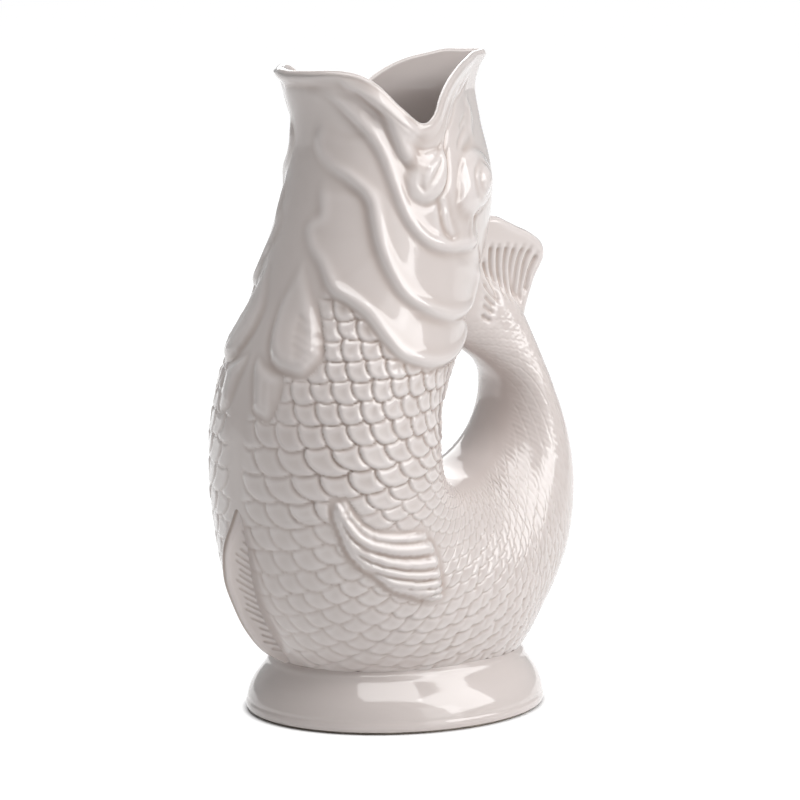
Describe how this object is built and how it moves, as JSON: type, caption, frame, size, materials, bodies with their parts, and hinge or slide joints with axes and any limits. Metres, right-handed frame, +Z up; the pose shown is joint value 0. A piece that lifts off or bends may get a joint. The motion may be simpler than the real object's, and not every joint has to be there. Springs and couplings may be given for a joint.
{
  "type": "gurgle jug",
  "caption": "Glazed ceramic jug shaped as a fish standing head up on an oval foot; the open mouth pours and the hollow tail curls round to the head as the handle.",
  "frame": {"origin": "middle of the oval foot, on the table plane under the foot ring", "axes": "+Z up, +X from the pouring lip towards the snout and the tail handle, the fish's left side at -Y"},
  "size_m": [0.1568, 0.1046, 0.2481],
  "materials": {
    "glaze": "glossy glaze, pale warm grey",
    "bare_clay": "unglazed, matte"
  },
  "bodies": {
    "root": {"foot_ring": "bare_clay", "foot": "glaze", "belly_shell": "glaze", "trunk_shell": "glaze", "head_shell": "glaze", "tail_shell": "glaze", "tail_fin": "glaze", "front_fin": "glaze", "rear_fin": "glaze", "inner_gill_left": "glaze", "inner_gill_right": "glaze", "middle_gill_left": "glaze", "middle_gill_right": "glaze", "outer_gill_left": "glaze", "outer_gill_right": "glaze", "pectoral_fin_left": "glaze", "pectoral_fin_right": "glaze", "lower_fin_left": "glaze", "lower_fin_right": "glaze", "pelvic_fin_left": "glaze", "pelvic_fin_right": "glaze", "eye_ring_left": "glaze", "eye_ring_right": "glaze", "eyeball_left": "glaze", "eyeball_right": "glaze", "jaw_lobe_left": "glaze", "jaw_lobe_right": "glaze"}
  },
  "joints": []
}
